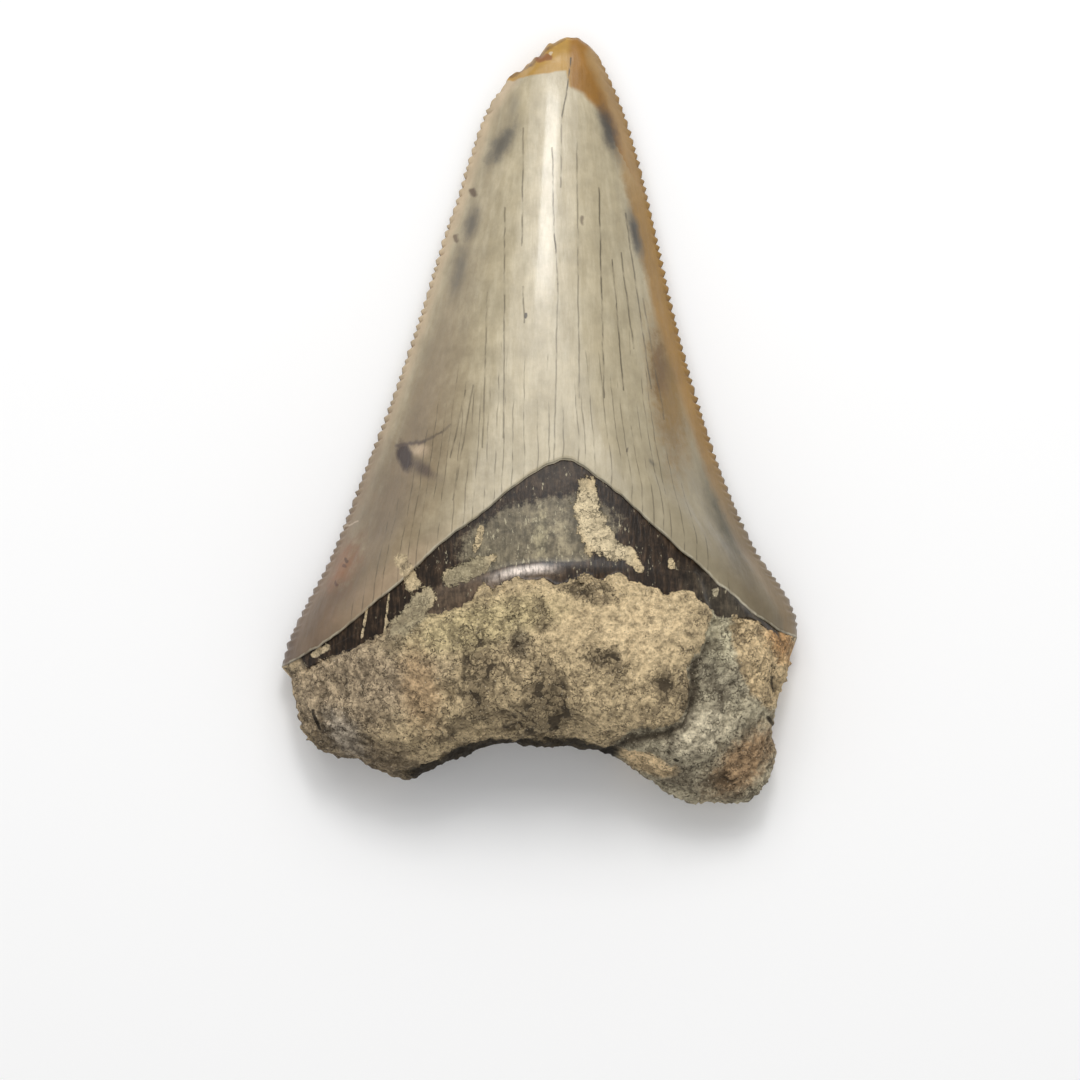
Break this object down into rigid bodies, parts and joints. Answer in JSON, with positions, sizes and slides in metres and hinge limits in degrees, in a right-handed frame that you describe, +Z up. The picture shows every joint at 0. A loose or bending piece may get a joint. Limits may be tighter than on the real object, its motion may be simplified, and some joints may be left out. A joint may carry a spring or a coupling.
{
  "type": "fossil megalodon tooth",
  "caption": "Fossil megalodon tooth lying on its flat labial face, with a glossy serrated enamel crown, a dark neck band and a rough, crusted lobed root.",
  "frame": {"origin": "middle of the outline, on the surface that the tooth lies on", "axes": "+X across the tooth to the right as seen from above, +Y along the crown towards the tip, +Z up out of the lingual face"},
  "size_m": [0.0542, 0.0804, 0.0176],
  "materials": {
    "fossil_enamel": "glossy cream-grey fossil enamel, with a dark brown neck band and a matte sandy crust on the root"
  },
  "bodies": {
    "root": {"tooth": "fossil_enamel"}
  },
  "joints": []
}
